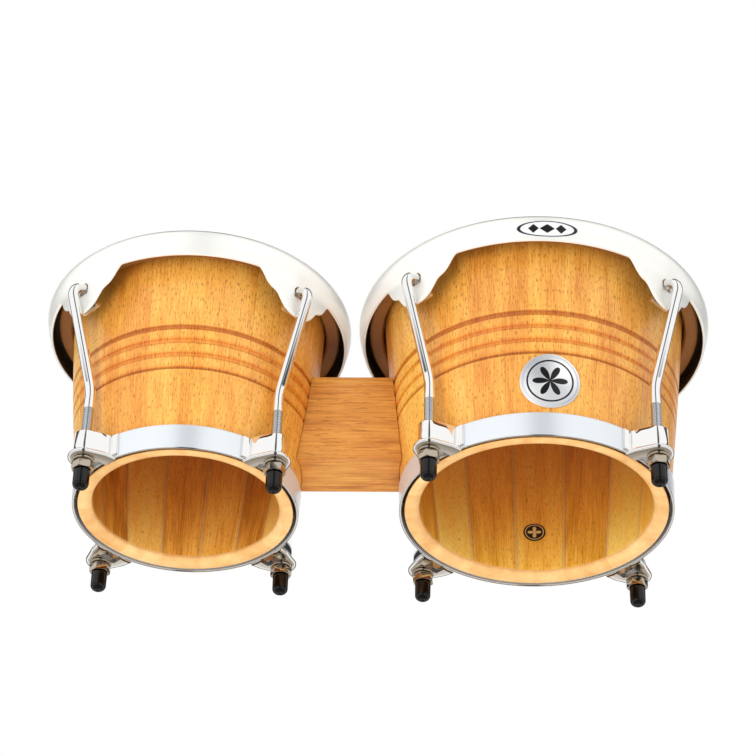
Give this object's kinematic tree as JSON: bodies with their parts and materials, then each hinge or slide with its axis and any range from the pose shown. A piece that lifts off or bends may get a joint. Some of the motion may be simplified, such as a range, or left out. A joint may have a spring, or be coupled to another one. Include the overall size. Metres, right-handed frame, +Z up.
{
  "type": "bongo drums",
  "caption": "Pair of hand drums of different size: tapered wooden shells on a joining block, with hide heads, flared metal rims and rod tuning.",
  "frame": {"origin": "centre of the footprint, on the plane of the rubber caps the drums stand on", "axes": "+Z up towards the heads, +X from the small drum to the large one, the side with the badge faces -Y"},
  "size_m": [0.4501, 0.237, 0.1836],
  "materials": {
    "lacquered_wood": "honey-amber satin lacquer over rubberwood staves, fine dark pores",
    "block_wood": "satin lacquered, grain running along the block",
    "chrome_steel": "polished chrome plate on pressed steel and rod",
    "nickel_hardware": "warm nickel plate, slightly dull",
    "screw_steel": "zinc-plated wood screw",
    "hoop_steel": "plain steel ring, hidden under the lapped hide",
    "rubber_cap": "glossy black moulded rubber",
    "rawhide": "natural scraped rawhide, tan where it is lapped round the hoop",
    "badge_metal": "brushed nickel-coloured disc with a plain ring pattern",
    "label": "small round printed label, plain ring pattern"
  },
  "bodies": {
    "shells_and_block": {"centre_block": "block_wood", "badge": "badge_metal", "inner_label": "label", "macho_shell": "lacquered_wood", "macho_bottom_hoop": "chrome_steel", "macho_head": "rawhide", "macho_block_screw_lower": "screw_steel", "macho_block_screw_upper": "screw_steel", "macho_lug_bracket_front_left": "chrome_steel", "macho_lug_bracket_front_right": "chrome_steel", "macho_lug_bracket_back_right": "chrome_steel", "macho_lug_bracket_back_left": "chrome_steel", "macho_washer_front_left": "nickel_hardware", "macho_washer_front_right": "nickel_hardware", "macho_washer_back_right": "nickel_hardware", "macho_washer_back_left": "nickel_hardware", "hembra_shell": "lacquered_wood", "hembra_bottom_hoop": "chrome_steel", "hembra_head": "rawhide", "hembra_block_screw_lower": "screw_steel", "hembra_block_screw_upper": "screw_steel", "hembra_lug_bracket_front_left": "chrome_steel", "hembra_lug_bracket_front_right": "chrome_steel", "hembra_lug_bracket_back_right": "chrome_steel", "hembra_lug_bracket_back_left": "chrome_steel", "hembra_washer_front_left": "nickel_hardware", "hembra_washer_front_right": "nickel_hardware", "hembra_washer_back_right": "nickel_hardware", "hembra_washer_back_left": "nickel_hardware"},
    "macho_tension_set": {"macho_rim": "chrome_steel", "macho_flesh_hoop": "hoop_steel", "macho_tuning_rod_front_left": "chrome_steel", "macho_tuning_rod_front_right": "chrome_steel", "macho_tuning_rod_back_right": "chrome_steel", "macho_tuning_rod_back_left": "chrome_steel", "macho_rubber_cap_front_left": "rubber_cap", "macho_rubber_cap_front_right": "rubber_cap", "macho_rubber_cap_back_right": "rubber_cap", "macho_rubber_cap_back_left": "rubber_cap"},
    "hembra_tension_set": {"hembra_rim": "chrome_steel", "hembra_flesh_hoop": "hoop_steel", "hembra_tuning_rod_front_left": "chrome_steel", "hembra_tuning_rod_front_right": "chrome_steel", "hembra_tuning_rod_back_right": "chrome_steel", "hembra_tuning_rod_back_left": "chrome_steel", "hembra_rubber_cap_front_left": "rubber_cap", "hembra_rubber_cap_front_right": "rubber_cap", "hembra_rubber_cap_back_right": "rubber_cap", "hembra_rubber_cap_back_left": "rubber_cap"},
    "macho_nut_front_left_body": {"macho_nut_front_left": "nickel_hardware"},
    "macho_nut_front_right_body": {"macho_nut_front_right": "nickel_hardware"},
    "macho_nut_back_right_body": {"macho_nut_back_right": "nickel_hardware"},
    "macho_nut_back_left_body": {"macho_nut_back_left": "nickel_hardware"},
    "hembra_nut_front_left_body": {"hembra_nut_front_left": "nickel_hardware"},
    "hembra_nut_front_right_body": {"hembra_nut_front_right": "nickel_hardware"},
    "hembra_nut_back_right_body": {"hembra_nut_back_right": "nickel_hardware"},
    "hembra_nut_back_left_body": {"hembra_nut_back_left": "nickel_hardware"}
  },
  "joints": [
    {"name": "macho_tuning", "type": "slide", "parent": "shells_and_block", "child": "macho_tension_set", "axis": [0, 0, -1], "range_m": [0, 0.006]},
    {"name": "hembra_tuning", "type": "slide", "parent": "shells_and_block", "child": "hembra_tension_set", "axis": [0, 0, -1], "range_m": [0, 0.006]},
    {"name": "macho_nut_front_left_turn", "type": "hinge", "parent": "shells_and_block", "child": "macho_nut_front_left_body", "pos_m": [-0.18064, -0.06189, 0.0195], "axis": [0, 0, 1], "range_deg": [0, 1702]},
    {"name": "macho_nut_front_right_turn", "type": "hinge", "parent": "shells_and_block", "child": "macho_nut_front_right_body", "pos_m": [-0.05961, -0.05914, 0.0195], "axis": [0, 0, 1], "range_deg": [0, 1702]},
    {"name": "macho_nut_back_right_turn", "type": "hinge", "parent": "shells_and_block", "child": "macho_nut_back_right_body", "pos_m": [-0.06236, 0.06189, 0.0195], "axis": [0, 0, 1], "range_deg": [0, 1702]},
    {"name": "macho_nut_back_left_turn", "type": "hinge", "parent": "shells_and_block", "child": "macho_nut_back_left_body", "pos_m": [-0.18339, 0.05914, 0.0195], "axis": [0, 0, 1], "range_deg": [0, 1702]},
    {"name": "hembra_nut_front_left_turn", "type": "hinge", "parent": "shells_and_block", "child": "hembra_nut_front_left_body", "pos_m": [0.03741, -0.07409, 0.0195], "axis": [0, 0, 1], "range_deg": [0, 1702]},
    {"name": "hembra_nut_front_right_turn", "type": "hinge", "parent": "shells_and_block", "child": "hembra_nut_front_right_body", "pos_m": [0.18059, -0.06909, 0.0195], "axis": [0, 0, 1], "range_deg": [0, 1702]},
    {"name": "hembra_nut_back_right_turn", "type": "hinge", "parent": "shells_and_block", "child": "hembra_nut_back_right_body", "pos_m": [0.17559, 0.07409, 0.0195], "axis": [0, 0, 1], "range_deg": [0, 1702]},
    {"name": "hembra_nut_back_left_turn", "type": "hinge", "parent": "shells_and_block", "child": "hembra_nut_back_left_body", "pos_m": [0.03241, 0.06909, 0.0195], "axis": [0, 0, 1], "range_deg": [0, 1702]}
  ],
  "couplings": [
    {"joint": "macho_nut_front_left_turn", "follows": "macho_tuning", "rad_per_m": 4947.4},
    {"joint": "macho_nut_front_right_turn", "follows": "macho_tuning", "rad_per_m": 4947.4},
    {"joint": "macho_nut_back_right_turn", "follows": "macho_tuning", "rad_per_m": 4947.4},
    {"joint": "macho_nut_back_left_turn", "follows": "macho_tuning", "rad_per_m": 4947.4},
    {"joint": "hembra_nut_front_left_turn", "follows": "hembra_tuning", "rad_per_m": 4947.4},
    {"joint": "hembra_nut_front_right_turn", "follows": "hembra_tuning", "rad_per_m": 4947.4},
    {"joint": "hembra_nut_back_right_turn", "follows": "hembra_tuning", "rad_per_m": 4947.4},
    {"joint": "hembra_nut_back_left_turn", "follows": "hembra_tuning", "rad_per_m": 4947.4}
  ]
}
